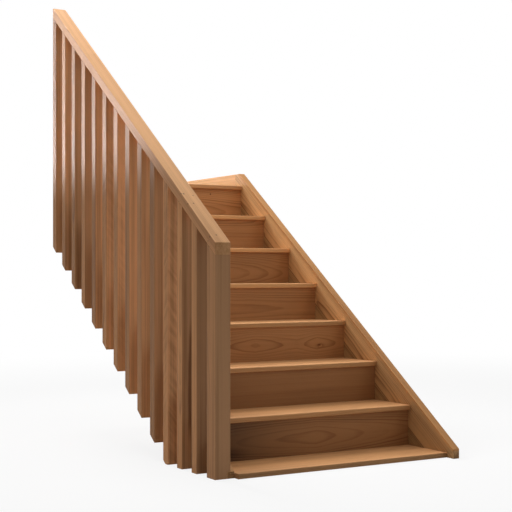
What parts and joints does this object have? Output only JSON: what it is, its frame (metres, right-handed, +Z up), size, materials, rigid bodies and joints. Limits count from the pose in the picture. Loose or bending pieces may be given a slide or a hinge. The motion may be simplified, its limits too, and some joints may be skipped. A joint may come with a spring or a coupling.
{
  "type": "wooden staircase",
  "caption": "Straight closed-riser wooden staircase with a wall string, a screen of upright slats on the open side and a sloping square-edged handrail on top of it.",
  "frame": {"origin": "on the wall face of the wall string, level with the front of the lowest nosing, at floor level", "axes": "+X out of the wall string's face into the wall, +Y up the flight towards the landing, +Z up"},
  "size_m": [1.183, 2.594, 2.212],
  "materials": {
    "tread_wood": "satin oiled",
    "riser_wood": "satin oiled",
    "string_wood": "satin oiled",
    "screen_wood": "satin oiled",
    "rail_wood": "satin oiled"
  },
  "bodies": {
    "root": {"tread_1": "tread_wood", "tread_2": "tread_wood", "tread_3": "tread_wood", "tread_4": "tread_wood", "tread_5": "tread_wood", "tread_6": "tread_wood", "tread_7": "tread_wood", "landing_nosing": "tread_wood", "riser_1": "riser_wood", "riser_2": "riser_wood", "riser_3": "riser_wood", "riser_4": "riser_wood", "riser_5": "riser_wood", "riser_6": "riser_wood", "riser_7": "riser_wood", "wall_string": "string_wood", "outer_string": "string_wood", "landing_header": "string_wood", "landing_skirting": "string_wood", "slat_01": "screen_wood", "slat_02": "screen_wood", "slat_03": "screen_wood", "slat_04": "screen_wood", "slat_05": "screen_wood", "slat_06": "screen_wood", "slat_07": "screen_wood", "slat_08": "screen_wood", "slat_09": "screen_wood", "slat_10": "screen_wood", "slat_11": "screen_wood", "slat_12": "screen_wood", "slat_13": "screen_wood", "newel_post": "screen_wood", "handrail": "rail_wood", "wall_string_cap": "rail_wood", "glue_blocks": "riser_wood"}
  },
  "joints": []
}
